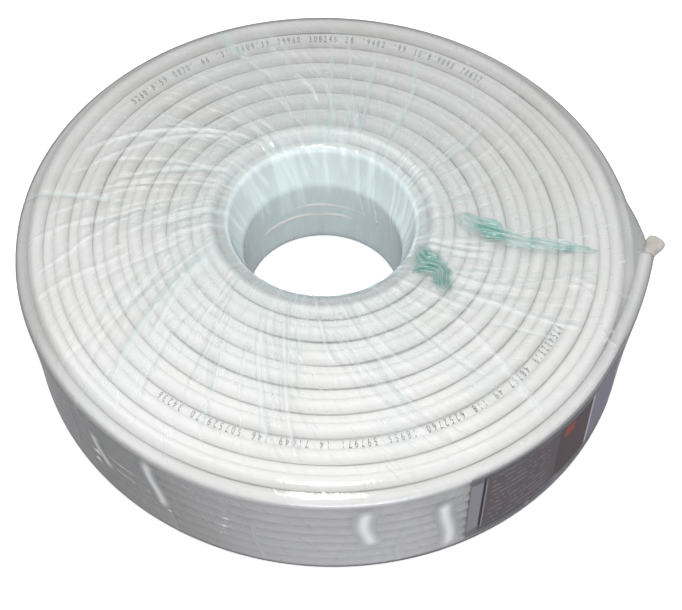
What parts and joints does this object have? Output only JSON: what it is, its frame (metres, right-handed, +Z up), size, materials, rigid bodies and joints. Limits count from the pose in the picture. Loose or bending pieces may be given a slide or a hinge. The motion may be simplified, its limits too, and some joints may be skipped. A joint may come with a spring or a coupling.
{
  "type": "coaxial cable coil",
  "caption": "coil of round white coaxial cable wound in nested layers around an open bore, lying flat and wrapped in clear stretch film over a printed card label",
  "frame": {"origin": "centre of the footprint's bounding box, on the plane the coil lies on; the winding's own axis stands 7.1 mm to -X of it, because the cable's free end reaches past the round at +X", "axes": "+Z is up along the winding's axis; +X points to the side where the cable's free end leaves the film; +Y completes the right-handed frame and is the side away from the picture's camera"},
  "size_m": [0.3118, 0.2976, 0.0687],
  "materials": {
    "cable_jacket": "smooth off-white PVC jacket, slightly satin",
    "clear_film": "clear glossy stretch film with a faint green tint where many layers lie together",
    "printed_card": "coated card with plain printed panels"
  },
  "bodies": {
    "root": {"cable_coil": "cable_jacket", "stretch_film": "clear_film", "label_card": "printed_card"}
  },
  "joints": []
}
